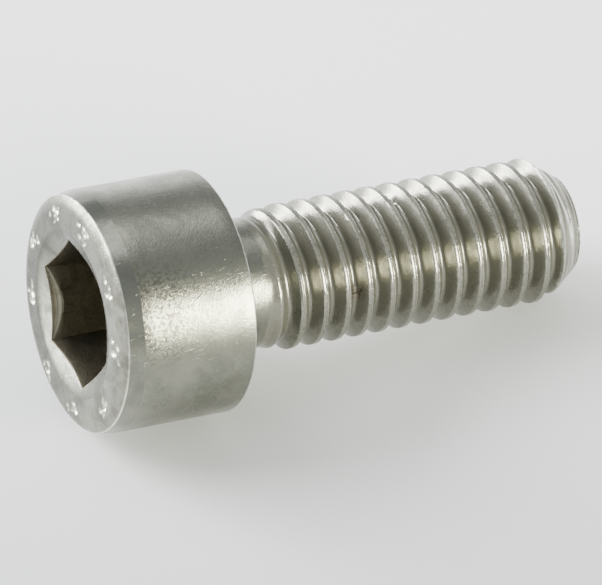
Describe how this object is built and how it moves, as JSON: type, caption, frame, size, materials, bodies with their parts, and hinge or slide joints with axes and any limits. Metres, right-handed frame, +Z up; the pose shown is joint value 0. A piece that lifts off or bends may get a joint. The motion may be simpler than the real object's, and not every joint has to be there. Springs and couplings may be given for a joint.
{
  "type": "hex socket head cap screw",
  "caption": "Cylindrical-headed cap screw with a deep hex socket in the head and a coarse-threaded shank with a chamfered tip.",
  "frame": {"origin": "on the floor under the middle of the screw's length, width and lying height", "axes": "+Z up from the floor; the screw lies in the XZ plane with its head towards -X and its tip towards +X and 7.5 degrees down"},
  "size_m": [0.0224, 0.0098, 0.0104],
  "materials": {
    "stainless_steel": "satin, slightly warm stainless steel with fine scuffs, brighter on the rolled thread"
  },
  "bodies": {
    "root": {"screw": "stainless_steel"}
  },
  "joints": []
}
